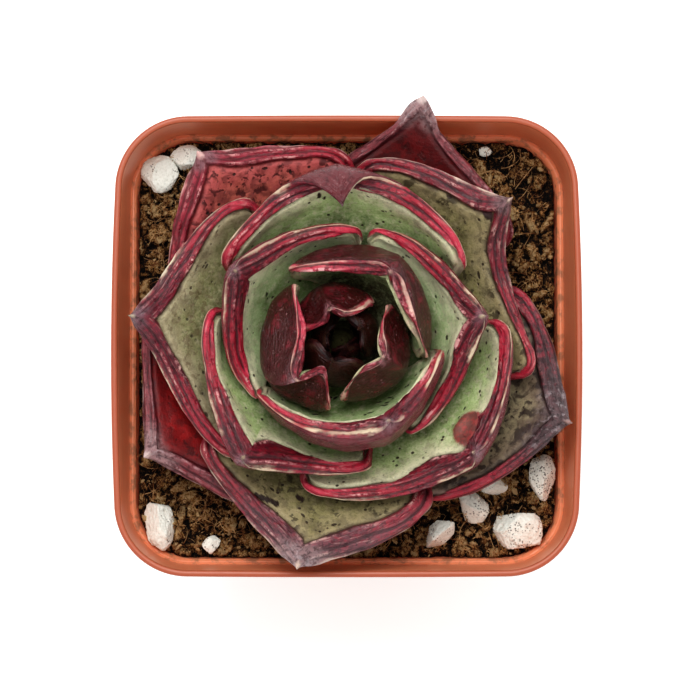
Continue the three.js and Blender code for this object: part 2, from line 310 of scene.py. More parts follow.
def squareRing(z, half, corner, bow=0, inset=0):
    # the same ring as the solid's: a square with round corners and slightly bowed sides
    points = []
    round_ = max(corner - inset, pot["leastCorner"])
    for side in range(4):
        out = half[side % 2] - inset
        along = half[1 - side % 2] - inset - round_
        belly = bow * pot["bowShares"][side % 2]
        turn = Matrix.Rotation(side * math.pi / 2, 3, "Z")
        for i in range(pot["sideSteps"]):
            share = 2 * i / pot["sideSteps"] - 1
            points.append(turn @ Vector((out + belly * (1 - share * share), share * along, z)))
        for i in range(pot["cornerSteps"]):
            angle = i / pot["cornerSteps"] * math.pi / 2
            x = out - round_ + round_ * math.cos(angle)
            points.append(turn @ Vector((x, along + round_ * math.sin(angle), z)))
    return points


def potRing(z, onCollar, inset=0):
    collarBottom = pot["height"] - pot["collarHeight"]
    if onCollar:
        drop = (pot["height"] - z) / pot["collarHeight"]
        draft = pot["collarDraft"] * drop
        half = [h - draft for h in pot["rimHalf"]]
        return squareRing(z, half, pot["rimCorner"] - draft, pot["rimBow"] * (1 - drop), inset)
    share = z / collarBottom
    top = pot["collarDraft"] + pot["ledge"]
    half = [mix(pot["footHalf"], h - top, share) for h in pot["rimHalf"]]
    return squareRing(z, half, mix(pot["footCorner"], pot["rimCorner"] - top, share), 0, inset)


def rounded(start, end, corner, onCollar):
    # (z, on the collar, inset) along a quarter round from start to end about a corner
    steps = []
    for i in range(pot["roundSteps"] + 1):
        t = i / pot["roundSteps"]
        shares = ((1 - t) ** 2, 2 * t * (1 - t), t ** 2)
        z, inset = [sum(s * p for s, p in zip(shares, ps)) for ps in zip(start, corner, end)]
        steps.append((z, onCollar, inset))
    return steps


def potProfile():
    # (z, on the collar, inset) up the outside, over the lip and down the inside
    top = pot["height"]
    under = top - pot["collarHeight"]
    wall = pot["wall"]
    lip = pot["lipRound"]
    foot = pot["footRound"]
    soft = pot["ledgeRound"]
    apart = 0.01   # keeps the lip's two halves from sharing a ring
    shelf = under + wall
    floor = pot["floor"]
    fillet = pot["floorFillet"]
    return [
        *rounded((0, foot), (foot, 0), (0, 0), False),
        *[(z, False, 0) for z in (*pot["sideRings"], under - soft)],
        (under, False, -soft),
        *rounded((under, soft), (under + soft, 0), (under, 0), True),
        *[(z, True, 0) for z in pot["collarRings"]],
        *rounded((top - lip, 0), (top, wall / 2), (top, 0), True),
        *rounded((top, wall / 2 + apart), (top - lip, wall), (top, wall), True),
        *[(z, True, wall) for z in (*reversed(pot["collarRings"]), shelf + soft)],
        (shelf, True, wall + soft),
        (shelf, False, wall - soft),
        *[(z, False, wall) for z in (shelf - soft, *pot["innerRings"], floor + fillet)],
        (floor, False, wall + fillet),
    ]


def plasticPaint():
    paint = Paint("terracotta plastic")
    at = paint.place()
    height = paint.node("ShaderNodeSeparateXYZ", {}, {0: at}, 2)
    cloud = paint.noise(at, 0.3, 5, 0.7)
    flowMarks = paint.noise(paint.place((90, 90, 900)), 1.1, 5, 0.65)
    specks = paint.noise(at, 6, 2).between(0.68, 0.76)
    inside = paint.attribute("inside")
    lipShade = height.between(*[pot["height"] - down for down in pot["lipShadeBand"]])
    dusty = paint.noise(at, 0.9, 4).between(0.46, 0.66)
    nearSoil = height.between(*pot["dustBand"]) * dusty * inside
    colour = paint.layers(
        linear(pot["outside"]),
        # the inner walls are painted lighter than the outside: painted light
        (inside, linear(pot["inside"])),
        (cloud.between(0.4, 0.8) * 0.2, linear(pot["worn"])),
        (flowMarks.between(0.4, 0.75) * 0.14, linear(pot["outside"])),
        # the top of the lip is painted darker: painted shade
        (lipShade * 0.9, linear(pot["lip"])),
        ((nearSoil * 0.7 + specks * 0.2).clamp(), linear(pot["dust"])))
    scratches = paint.noise(paint.place((400, 400, 5000)), 1, 3)
    normal = paint.bump(scratches + cloud * 2 + specks * 0.6, 0.00004, 0.5)
    roughness = 0.3 + cloud * 0.12 + nearSoil * 0.3
    return paint.finish(
        Base_Color=colour, Roughness=roughness, Normal=normal, Specular_IOR_Level=0.4,
        Subsurface_Weight=pot["glow"], Subsurface_Radius=pot["glowReach"], Subsurface_Scale=mm)


def drainCutter():
    bm = bmesh.new()
    radius = pot["drainRadius"] * mm
    for x, y in ((1, 1), (-1, 1), (-1, -1), (1, -1)):
        place = Matrix.Translation(Vector((x * pot["drainSpread"], y * pot["drainSpread"], 0)) * mm)
        bmesh.ops.create_cone(bm, cap_ends=True, segments=pot["drainSegments"], radius1=radius,
                              radius2=radius, depth=pot["drainDepth"] * mm, matrix=place)
    mesh = bpy.data.meshes.new("drains")
    bm.to_mesh(mesh)
    bm.free()
    cutter = bpy.data.objects.new("drains", mesh)
    bpy.context.scene.collection.objects.link(cutter)
    return cutter


def applyModifiers(piece):
    bpy.context.view_layer.update()
    graph = bpy.context.evaluated_depsgraph_get()
    done = bpy.data.meshes.new_from_object(piece.evaluated_get(graph))
    piece.modifiers.clear()
    piece.data = done


def buildPot():
    # one ring is extruded along the profile, and both ends are closed
    around = 4 * (pot["sideSteps"] + pot["cornerSteps"])
    bm = bmesh.new()
    bmesh.ops.create_circle(bm, cap_ends=False, segments=around, radius=1)
    ring = list(bm.verts)
    edges = firstEdges = list(bm.edges)
    for level, (z, onCollar, inset) in enumerate(potProfile()):
        if level:
            made = bmesh.ops.extrude_edge_only(bm, edges=edges)["geom"]
            after = {v: e.other_vert(v) for v in ring for e in v.link_edges if e.other_vert(v) in made}
            ring = [after[v] for v in ring]
            edges = [e for e in made if isinstance(e, bmesh.types.BMEdge) and all(v in ring for v in e.verts)]
        for vertex, point in zip(ring, potRing(z, onCollar, inset)):
            vertex.co = point * mm
    bmesh.ops.edgeloop_fill(bm, edges=edges)
    bmesh.ops.edgeloop_fill(bm, edges=firstEdges)
    bmesh.ops.recalc_face_normals(bm, faces=bm.faces)
    piece = newPiece("planter", bm, plasticPaint())
    cutter = drainCutter()
    cut = piece.modifiers.new("drains", "BOOLEAN")
    cut.object = cutter
    cut.operation = "DIFFERENCE"
    cut.solver = "EXACT"
    applyModifiers(piece)
    bpy.data.objects.remove(cutter)
    piece.data.set_sharp_from_angle(angle=math.radians(pot["sharpAngle"]))
    facingIn = [-v.normal.xy.dot(v.co.xy.normalized()) for v in piece.data.vertices]
    storeValues(piece, "inside", np.clip(0.5 + 2 * np.array(facingIn), 0, 1))
    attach(piece, "root")
    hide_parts("pot")


buildPot()
print("pot ready")

# soil

soil = {
    "top": 43.4, "cells": 200, "clump": 0.6, "crumb": 0.5, "dust": 0.2, "gap": 1.3, "fit": 0.12, "depth": 9,
    "wallZone": 0.985, "wallDrop": 0.5, "farthest": 26, "clearRadius": 12,
    "crumbs": 7000, "crumbSize": (0.18, 0.9), "crumbLift": (-0.15, 0.3), "crumbLength": (0.6, 1.6),
    "crumbWidth": (0.35, 0.8), "crumbHeight": 0.5, "crumbRoughness": 0.16,
    "fibres": 3200, "fibreLength": (0.5, 4.5), "fibreWidth": (0.03, 0.085), "fibreTaper": 0.35,
    "fibreCurl": 2.6, "fibreHump": 0.5, "fibreCuts": 5,
    "dark": (12, 6, 4), "brown": (104, 66, 34), "golden": (204, 148, 84), "straw": (238, 206, 152),
    "warm": (110, 74, 52), "fibreDark": (132, 84, 44), "fibrePale": (228, 188, 132),
}


def soilOutline(angle, z):
    # distance from the middle to the pot's inner wall in a direction
    collarBottom = pot["height"] - pot["collarHeight"]
    inset = pot["collarDraft"] + pot["ledge"]
    share = z / collarBottom
    half = mix(pot["footHalf"], pot["rimHalf"][1] - inset, share) - pot["wall"] - soil["fit"]
    corner = mix(pot["footCorner"], pot["rimCorner"] - inset, share) - pot["wall"] - soil["fit"]
    c = np.abs(np.cos(angle))
    s = np.abs(np.sin(angle))
    flat = half / np.maximum(np.maximum(c, s), 1e-9)
    middle = half - corner
    reach = middle * (c + s)
    round_ = reach + np.sqrt(np.maximum(reach ** 2 - 2 * middle ** 2 + corner ** 2, 0))
    inCorner = np.minimum(c, s) * flat > middle
    return np.where(inCorner, round_, flat)


def soilHeight(x, y):
    # millimetres above the soil's level at a place: clumps with gaps between them, crumbs and dust
    p = Vector((x, y, 0))
    clump = noise.noise(p * 0.22 + Vector((3, 7, 1))) + 0.5 * noise.noise(p * 0.5)
    bend = Vector((noise.noise(p * 0.6), noise.noise(p * 0.6 + Vector((9, 9, 0))), 0))
    near = noise.voronoi(p * 0.45 + bend * 0.5)[0]
    gap = min((near[1] - near[0]) / 0.3, 1)
    crumb = noise.noise(p * 1.5 + Vector((5, 1, 4))) + 0.7 * noise.noise(p * 3.1)
    dust = noise.noise(p * 6.1)
    return soil["clump"] * clump + soil["crumb"] * crumb + soil["dust"] * dust - soil["gap"] * (1 - gap) ** 2


def soilPaint():
    paint = Paint("peat and coir")
    at = paint.place()
    liftShade = paint.attribute("liftShade")
    grit = paint.noise(at, 3.4, 6, 0.8)
    thread = paint.noise(paint.place((4200, 1300, 2400)), 1, 4, 0.7, 1.6)
    grains = paint.cells(at, 2.1, output="Color")
    gaps = paint.cells(at, 2.1, "DISTANCE_TO_EDGE").between(0.02, 0.12)
    warm = paint.noise(at, 0.35, 3)
    # higher points are painted lighter and lower ones darker: painted light on the tops and painted shade in
    # the hollows
    tone = liftShade * 1.35 + (grit - 0.5) * 2.1 + (thread - 0.5) * 1.5 + (grains - 0.5) * 0.45
    # darker along the gaps between the small grains: painted shade
    tone = tone + gaps * 0.12 + 0.03
    places = {"dark": 0.2, "brown": 0.46, "golden": 0.7, "straw": 0.95}
    stops = [(place, linear(soil[name])) for name, place in places.items()]
    colour = paint.node("ShaderNodeValToRGB", {"stops": stops}, {0: tone.clamp()})
    colour = paint.mix(warm.between(0.5, 0.7) * 0.5, colour, linear(soil["warm"]), "MULTIPLY")
    normal = paint.bump(grit + thread * 0.6 + gaps * 0.4, 0.0006, 1)
    return paint.finish(Base_Color=colour, Roughness=0.92, Normal=normal, Specular_IOR_Level=0.3)


def buildSoil(material):
    bm = bmesh.new()
    bmesh.ops.create_grid(bm, x_segments=soil["cells"], y_segments=soil["cells"], size=1)
    points = pointsOf(bm)
    u, v = points[:, 0], points[:, 1]
    square = np.maximum(np.abs(u), np.abs(v))
    angle = np.arctan2(v, u)
    reach = square * soilOutline(angle, soil["top"])
    x, y = reach * np.cos(angle), reach * np.sin(angle)
    rough = np.array([soilHeight(a, b) for a, b in zip(x, y)])
    atWall = between(square, soil["wallZone"], 1)
    z = soil["top"] + rough - soil["wallDrop"] * atWall
    movePoints(bm, np.stack([x, y, z], axis=1) * mm)
    rim = [e for e in bm.edges if e.is_boundary]
    made = bmesh.ops.extrude_edge_only(bm, edges=rim)["geom"]
    floor = soil["top"] - soil["depth"]
    for vertex in [g for g in made if isinstance(g, bmesh.types.BMVert)]:
        at = vertex.co / mm
        turn = math.atan2(at.y, at.x)
        out = float(soilOutline(np.array([turn]), floor)[0])
        vertex.co = Vector((out * math.cos(turn), out * math.sin(turn), floor)) * mm
    bmesh.ops.edgeloop_fill(bm, edges=[e for e in bm.edges if e.is_boundary])
    bmesh.ops.recalc_face_normals(bm, faces=bm.faces)
    # height above the soil's level, kept for the painted shade in the hollows
    liftShade = np.array([v.co.z for v in bm.verts]) / mm - soil["top"]
    piece = newPiece("pottingMix", bm, material)
    storeValues(piece, "liftShade", np.clip(0.42 + liftShade * 0.5, 0, 1))
    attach(piece, "root")
    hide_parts("soil")


def openPlace(margin):
    # a random place on the soil, outside the stem and inside the wall
    farthest = soil["farthest"]
    while True:
        x, y = rng.uniform(-farthest, farthest), rng.uniform(-farthest, farthest)
        far = math.hypot(x, y)
        wallAt = float(soilOutline(np.array([math.atan2(y, x)]), soil["top"])[0])
        if soil["clearRadius"] < far < wallAt - margin:
            return x, y


crumbTones = []   # how light each crumb is, point by point


def crumb(bm):
    size = mix(*soil["crumbSize"], rng.random() ** 3)   # most are small
    x, y = openPlace(size * 0.6)
    z = soil["top"] + soilHeight(x, y) + size * rng.uniform(*soil["crumbLift"])
    length = rng.uniform(*soil["crumbLength"])
    width = rng.uniform(*soil["crumbWidth"])
    stretch = Matrix.Diagonal((size * length, size * width, size * soil["crumbHeight"], 1))
    turn = Euler([rng.uniform(0, 6.28) for _ in range(3)]).to_matrix().to_4x4()
    bmesh.ops.create_icosphere(bm, subdivisions=1, radius=0.6, matrix=turn @ stretch)
    uneven = soil["crumbRoughness"]
    for vertex in bm.verts:
        rough = Vector([rng.uniform(-uneven, uneven) * size for _ in range(3)])
        vertex.co = (vertex.co + rough + Vector((x, y, z))) * mm
    crumbTones.extend([rng.random()] * len(bm.verts))


def buildCrumbs(material):
    bm = heap(soil["crumbs"], crumb)
    # each crumb's height above the soil's level gives painted shade lower down, mixed with the crumb's own
    # random tone
    liftShade = np.array([v.co.z / mm - soil["top"] for v in bm.verts])
    piece = newPiece("soilCrumbs", bm, material, smooth=False)
    storeValues(piece, "liftShade", np.clip(0.2 + liftShade * 0.4 + np.array(crumbTones) * 0.65, 0, 1))
    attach(piece, "root")


def fibrePaint():
    paint = Paint("coir fibre")
    at = paint.place()
    tone = paint.noise(at, 0.8, 4).between(0.4, 0.62)
    colour = paint.mix(tone, linear(soil["fibreDark"]), linear(soil["fibrePale"]))
    return paint.finish(Base_Color=colour, Roughness=0.7, Normal=paint.bump(paint.noise(at, 9), 0.00005))


def fibre(bm):
    length = mix(*soil["fibreLength"], rng.random() ** 5)   # most are short
    width = rng.uniform(*soil["fibreWidth"])
    x, y = openPlace(0.5 + length * 0.3)
    heading = rng.uniform(0, 2 * math.pi)
    curl = rng.uniform(-1, 1) * soil["fibreCurl"]
    hump = rng.random() * soil["fibreHump"]
    thin = width * soil["fibreTaper"]
    bmesh.ops.create_cone(bm, cap_ends=True, segments=3, radius1=width, radius2=thin, depth=1)
    lengthwise = [e for e in bm.edges if abs(e.verts[0].co.z - e.verts[1].co.z) > 0.5]
    bmesh.ops.subdivide_edges(bm, edges=lengthwise, cuts=soil["fibreCuts"])
    for vertex in bm.verts:
        side, up, along = vertex.co
        bend = heading + curl * along
        px = x + length * along * math.cos(heading + curl * along * 0.5)
        py = y + length * along * math.sin(heading + curl * along * 0.5)
        ground = soil["top"] + 0.5 + 0.6 * soilHeight(px, py) + width + hump * math.cos(along * math.pi)
        vertex.co = Vector((px - side * math.sin(bend), py + side * math.cos(bend), ground + up)) * mm


def buildFibres():
    piece = newPiece("soilFibres", heap(soil["fibres"], fibre), fibrePaint())
    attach(piece, "root")


peat = soilPaint()
buildSoil(peat)
buildCrumbs(peat)
buildFibres()
print("soil ready")

# perlite

perlite = {
    # x, y, z, half its size each way, turn, and how specked each is
    "grains": [
        (-23.4, 21.9, 43.9, (2.3, 2.1, 1.4), 0.9, 0.1), (-20.1, 23.8, 43.8, (2, 1.5, 1.2), 0.3, 0.3),
        (-23.3, -21.8, 44, (1.8, 3, 1.7), 0.15, 0), (-16.8, -24.3, 43.6, (1.3, 1, 0.8), 0.7, 0.5),
        (11.4, -22.8, 43.9, (2.2, 1.5, 1.5), 0.8, 0.4), (15.6, -19.6, 43.8, (2.1, 1.8, 1.5), 2.3, 0.3),
        (18.4, -17.1, 43.6, (1.7, 1.1, 1), 0.2, 0.2), (24.2, -15.8, 43.9, (1.8, 2.8, 1.6), 0.1, 1),
        (21.3, -22.5, 44.1, (3, 2.7, 2.1), 2.8, 0.4), (17.3, 24.8, 42.95, (0.9, 0.6, 0.5), 0.2, 1),
    ],
    "rounding": 5, "flats": 9, "flatReach": (0.66, 0.86), "flatness": 0.93, "fullness": 1.08, "lump": 0.1,
    "pitDepth": 0.2, "pitWidth": 0.3, "roughness": 0.06, "seed": 40,
    # pit is the darker colour painted into the pits: painted shade
    "white": (246, 248, 238), "shade": (208, 209, 194), "pit": (150, 136, 112), "speck": (52, 42, 32),
}


def perlitePaint():
    paint = Paint("perlite")
    at = paint.place()
    pitShade = paint.attribute("pitShade")
    grain = paint.noise(at, 4, 5, 0.7)
    clusters = (paint.noise(at, 0.7) + paint.attribute("dirt") * 0.22).between(0.56, 0.68)
    specks = paint.cells(at, 3.2).between(0.42, 0.22) * clusters
    colour = paint.layers(
        linear(perlite["white"]),
        (grain.between(0.45, 0.75) * 0.6, linear(perlite["shade"])),
        # the pits are painted darker: painted shade in the hollows
        (pitShade * 0.7, linear(perlite["pit"])),
        (specks * 0.85, linear(perlite["speck"])))
    normal = paint.bump(grain - paint.cells(at, 5) * 0.5, 0.00012, 0.7)
    return paint.finish(Base_Color=colour, Roughness=0.9, Normal=normal)


def buildGrain(index, material):
    x, y, z, size, spin, dirt = perlite["grains"][index]
    dice = random.Random(perlite["seed"] + index)
    flats = []
    for _ in range(perlite["flats"]):
        away = Vector([dice.gauss(0, 1) for _ in range(3)]).normalized()
        flats.append((away, dice.uniform(*perlite["flatReach"])))
    bm = bmesh.new()
    bmesh.ops.create_icosphere(bm, subdivisions=perlite["rounding"], radius=1)
    pitShade = []
    for vertex in bm.verts:
        p = vertex.co.copy()
        near = noise.voronoi(p * 3.3 + Vector((index * 5, 0, 0)))[0]
        pit = max(0, 1 - near[0] / perlite["pitWidth"])
        grit = noise.noise(p * 7 + Vector((0, index * 3, 0)))
        lump = perlite["lump"] * noise.noise(p * 1.7 + Vector((index, index, 0)))
        place = p * (perlite["fullness"] + lump)
        for away, reach in flats:
            over = place.dot(away) - reach
            if over > 0:
                place -= away * over * perlite["flatness"]
        vertex.co = place - p * (perlite["pitDepth"] * pit ** 2 - perlite["roughness"] * grit)
        pitShade.append(pit ** 1.5)
    bmesh.ops.scale(bm, vec=size, verts=bm.verts)
    bmesh.ops.rotate(bm, cent=(0, 0, 0), matrix=Matrix.Rotation(spin, 3, "Z"), verts=bm.verts)
    bmesh.ops.translate(bm, vec=(x, y, z), verts=bm.verts)
    bmesh.ops.scale(bm, vec=(mm, mm, mm), verts=bm.verts)
    piece = newPiece(f"perliteGrain_{index + 1:02d}", bm, material)
    storeValues(piece, "pitShade", pitShade)
    storeValues(piece, "dirt", [dirt] * len(pitShade))
    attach(piece, "root")
    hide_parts(f"perlite_{index + 1:02d}")


white = perlitePaint()
for index in range(len(perlite["grains"])):
    buildGrain(index, white)
print("perlite ready")

# leaves

plant = {
    "place": (-0.6, 0.5), "goldenAngle": 137.5, "firstAzimuth": 70,
    "baseWidth": 0.5, "sideTop": 0.52, "cusp": 0.045, "longPoints": {5: 0.12, 6: 0.1}, "pointing": 2,
    "baseThickness": 1.1, "baseEdge": 0.8, "thinnest": 0.65, "fullFrom": 0.5, "edgeShare": 0.66,
    "flankShare": 0.5, "tipWiden": 1.5, "cup": 0.25, "faceShare": 0.4, "flareShare": 0.36,
    "pinchFrom": 0.55, "pinchLength": 0.35,
    "cells": (60, 64, 10), "budCells": (36, 32, 6), "crowding": 1.7, "edgeRound": 0.55, "flatLayer": 0.5,
    "surface": 0.999, "halfWidth": 9, "roundReach": 2.4, "fullLength": 1.15, "tipBase": 0.86,
    "swell": (0.24, 0.18), "fold": 0.5, "bandDepth": 1.9, "glow": 0.06, "glowReach": (0.9, 0.5, 0.3),
    "fleck": (40, 22, 14), "bloom": (190, 176, 178), "stemBrown": (70, 52, 30), "stemGreen": (120, 116, 74),
}

# leaf, baseR, baseZ, lean, pull, tipR, tipZ, tipLean, keel: the bowls that the leaves lie on
bowls = [
    (0, 4.9, 45.4, -3, 0.38, 30.2, 56, 36, 2.2),
    (3, 4.9, 46.9, 5, 0.38, 28.4, 58.4, 45, 2.6),
    (6, 4.7, 48.3, 13, 0.4, 25.1, 61.5, 56, 2.9),
    (9, 4.3, 49.7, 20, 0.42, 18.9, 65.2, 70, 2.9),
    (11, 3.9, 50.7, 26, 0.45, 14.6, 67.3, 86, 2.9),
    (12, 3.7, 51.2, 30, 0.47, 11.1, 68.2, 104, 3.6),
    (16, 2.7, 53.1, 45, 0.47, 3.1, 65.8, 118, 2.6),
    (20, 1.3, 54.9, 62, 0.42, 0.7, 61.3, 118, 1.5),
]

# turn, skew, reach, pinch, left and right of each leaf, outermost first, and the finish it has
leaves = [
    (0, 1.5, 1.01, (0, 0), (40, 0.56, 0), (42, 0.76, 0.08), "wine"),
    (0, 3, 0.92, (0, 0), (42, 0.78, 0), (44, 0.78, 0.1), "litWine"),
    (-6, 1, 1.01, (0, 0), (42, 0.81, -0.1), (46, 0.82, -0.16), "dusk"),
    (4, 1, 1, (0, 0), (42, 0.78, -0.1), (42, 0.78, 0), "salmon"),
    (-3, 2, 1.03, (0, 0.05), (46, 0.82, 0), (44, 0.7, 0.05), "olive"),
    (0, 2, 1.01, (0.02, 0.05), (50, 0.86, 0), (52, 0.52, 0.56), "moss"),
    (0, -1, 1.02, (0.04, 0.08), (54, 0.72, 0.06), (54, 0.82, 0.1), "beige"),
    (-1, 9, 0.95, (0.02, 0.06), (58, 0.93, 0.04), (60, 0.74, 0.1), "sage"),
    (0, 3, 1.06, (0.05, 0.1), (60, 0.76, 0.06), (62, 0.84, 0.06), "sage"),
    (-2, 6, 1.02, (0.06, 0.07), (60, 0.7, 0.1), (61, 0.8, 0.1), "sage"),
    (4, -1, 1, (0.07, 0.08), (68, 0.66, 0), (66, 0.64, 0.06), "litSage"),
    (5, 1, 1, (0.06, 0.06), (70, 0.74, -0.2), (70, 0.72, 0.06), "litSage"),
    (3, 16, 1, (0.06, 0), (72, 0.88, 0), (74, 0.88, 0), "litSage"),
    (1, -6, 1, (0.16, 0), (72, 0.88, 0), (74, 0.88, 0), "bud"),
    (0, 30, 1, (0.4, 0), (68, 0.9, 0), (68, 0.9, 0), "bud"),
    (0, 0, 1, (0.25, 0), (66, 0.9, 0), (66, 0.9, 0), "bud"),
    (0, 4, 1, (0.35, 0), (64, 0.9, 0), (64, 0.9, 0), "bud"),
    (0, 0, 1, (0.2, 0), (66, 0.9, 0), (66, 0.9, 0), "shadedHeart"),
    (0, 0, 1, (0.1, 0), (66, 0.9, 0), (66, 0.9, 0), "shadedHeart"),
    (0, 0, 1, (0.1, 0), (66, 0.9, 0), (66, 0.9, 0), "shadedHeart"),
    (0, 0, 1, (0.1, 0), (66, 0.9, 0), (66, 0.9, 0), "shadedHeart"),
]
firstBudLeaf = 17

# how the red margin runs on each leaf's left and right side: where it ends, in mm from the tip, and
# how far it reaches onto the face by the tip and halfway
margins = [
    ((40, 0.3, -0.2), (40, 0, -0.4)),
    ((40, 0.9, 0.5), (40, 0.3, 0)),
    ((40, 1.3, 0.5), (24, 0.4, 0.2)),
    ((40, 0.6, 0.3), (40, 0.6, 0.2)),
    ((36, 1.8, 1.3), (32, 0.8, 0.4)),
    ((40, 0.8, 0.4), (34, 0.8, 0.1)),
    ((30, 0.9, 0.6), (29, 2, 0.2)),
    ((23, 0.8, 0), (30, 0.7, 0.1)),
    ((27, 0.9, -0.1), (24, 1.2, 0.5)),
    ((25, 1.4, 0), (24, 1.3, 0.3)),
    ((22, 0.9, 0.1), (22, 0.9, -0.1)),
    ((19, 2.2, 0.9), (21, 1.2, 0.2)),
    ((16, -0.1, -0.9), (20, 0, -0.5)),
    ((15, 0.3, -0.2), (15, -0.6, -1.5)),
    ((12, 0.2, -0.2), (12, 0.2, -0.2)),
    ((11, -0.7, -1.4), (11, -0.9, -1.5)),
    ((9, 0.1, -0.3), (9, 0.1, -0.3)),
]
innermost = ((6, 0, -0.3), (6, 0, -0.3))

# where the red widens onto the face: mm along the margin from the tip (left is more than 0), over how
# many mm, and by how many
bulges = {
    4: ((-6, 5, 0.8),), 7: ((-6, 3, 1.2), (3.5, 2, 0.8)), 9: ((5.4, 3.4, 2.4),), 12: ((1, 2.5, 0.8),),
}

# tips that curl over the face: length in mm and degrees
hooks = {7: (3, 60), 8: (5, 150), 9: (2.2, 30)}

# how the tips end: how much they narrow, how many mm they are drawn out, over how many mm, and how sharply
plainTip = (0.75, 0.45, 2.2, 2)
tips = {
    0: (-0.4, 1.1, 5, 1), 1: (0.2, 0.2, 2, 1), 3: (0.3, 0.2, 2, 1), 4: (0.6, 0.3, 2.2, 2),
    8: (0.6, 0.8, 6, 1),
}

# dark marks on the face: from x, y to x, y in mm, half their width, and -1 for a red fold
marks = {
    4: ((-11.2, -18.2, -8.2, -19.4, 0.32, 1), (-6.1, -18.4, -5.4, -18.8, 0.34, 1)),
    5: ((16.6, 16.2, 17.2, 15.4, 0.5, 1),),
    7: ((14.6, -10.9, 15.4, -9.9, 1.6, -1),),
    8: ((-5.8, 18.6, -4.4, 18.3, 0.28, 1), (-3.4, 17.9, -2.8, 17.5, 0.24, 1)),
}

# what each point of a leaf stores for its paint: its distances in mm inside the face's margin, inside the
# red, along the margin and from the tip, how faded the red is, and how far out, raised and marked it is
leafValues = ("rim", "edge", "fade", "flow", "reach", "tipAway", "relief", "mark")


def bowlOf(index):
    after = next(i for i, b in enumerate(bowls) if b[0] >= index and i > 0)
    a, b = np.array(bowls[after - 1], float), np.array(bowls[after], float)
    return mix(a, b, (index - a[0]) / (b[0] - a[0]))


def profileOf(bowl):
    # the four handles of a bowl's profile, as (distance from the stem, height)
    _, baseR, baseZ, lean, pull, tipR, tipZ, tipLean, _ = bowl
    start, end = np.array([baseR, baseZ]), np.array([tipR, tipZ])
    arm = pull * np.linalg.norm(end - start)
    out, back = [np.array([math.cos(a), math.sin(a)]) * arm for a in map(math.radians, (lean, tipLean))]
    return start, start + out, end - back, end


def alongProfile(handles, share):
    t = share[:, None]
    a, b, c, d = handles
    at = (1 - t) ** 3 * a + 3 * (1 - t) ** 2 * t * b + 3 * (1 - t) * t ** 2 * c + t ** 3 * d
    slope = (1 - t) ** 2 * (b - a) + 2 * (1 - t) * t * (c - b) + t ** 2 * (d - c)
    return at, slope / np.linalg.norm(slope, axis=1)[:, None]


def leafPoints(index, along, across, layer):
    # the leaf's form, as its solid has it: places in millimetres
    turn, skew, reach, pinch, left, right, _ = leaves[index]
    bowl = bowlOf(index)
    keelFull = bowl[8]
    handles = profileOf(bowl)
    isLeft = across > 0
    away = np.abs(across)
    span, shoulder, climb = [np.where(isLeft, l, r) for l, r in zip(left, right)]
    span = np.radians(span)
    rounding = np.sqrt(np.maximum(1 - away ** 12, 0))
    spur = plant["longPoints"].get(index, plant["cusp"])
    point = (1 - shoulder - spur) * (1 - away) ** plant["pointing"] + spur * (1 - away) ** 10
    margin = reach * (mix(plant["sideTop"], shoulder + climb * away ** 2, rounding) + point)
    share = along * margin
    grown = ease(share / plant["fullFrom"])
    keel = mix(plant["baseThickness"], keelFull, grown) * mix(1, 0.8, ease((share - 0.6) / 0.4))
    tipEdge = mix(1, plant["tipWiden"], (1 - away) ** 3) * mix(1, 0.5, ((1 - away) * along) ** 14)
    edge = mix(plant["baseEdge"], plant["edgeShare"] * keelFull, grown) * mix(1, 0.4, away ** 4) * tipEdge
    inner = (1 - along ** 5) * (1 - away ** 3)
    thickness = mix(edge, keel * mix(1, plant["flankShare"], ease(away / 0.8)), inner)
    thickness = np.maximum(thickness, plant["thinnest"])
    part = np.where(layer > 0, plant["faceShare"], 1 - plant["faceShare"])
    offset = plant["cup"] * away ** 2 * grown + thickness * layer * part
    flare = plant["flareShare"] * keelFull * grown * (layer + 1) / 2
    stride = 1.1 * np.linalg.norm(handles[3] - handles[0])
    at, slope = alongProfile(handles, share - flare * along ** 3 / stride)
    pinched = pinch[0] * 4 * away * (1 - away) + pinch[1] * away ** 2
    flank = 1 - pinched * ease((share - plant["pinchFrom"]) / plant["pinchLength"])
    r = (at[:, 0] - slope[:, 1] * offset) * flank
    z = at[:, 1] + slope[:, 0] * offset
    width = mix(plant["baseWidth"], 1, ease(share / plant["sideTop"])) * span * across
    narrowed = width * (1 - flare / np.maximum(at[:, 0] * span, np.maximum(flare * 2, 1e-9)))
    twist = skew * along ** 2 * (1 - away)
    heading = np.radians(plant["firstAzimuth"] + plant["goldenAngle"] * index + turn + twist) + narrowed
    x0, y0 = plant["place"]
    return np.stack([r * np.cos(heading) + x0, r * np.sin(heading) + y0, z], axis=1)


def gridBox(cells):
    # a cube of 1 each way, cut into cells along each axis
    bm = bmesh.new()
    bmesh.ops.create_cube(bm, size=1)
    for axis, count in enumerate(cells):
        edges = [e for e in bm.edges if abs(e.verts[0].co[axis] - e.verts[1].co[axis]) > 0.9]
        bmesh.ops.subdivide_edges(bm, edges=edges, cuts=count - 1, use_grid_fill=True)
    return bm


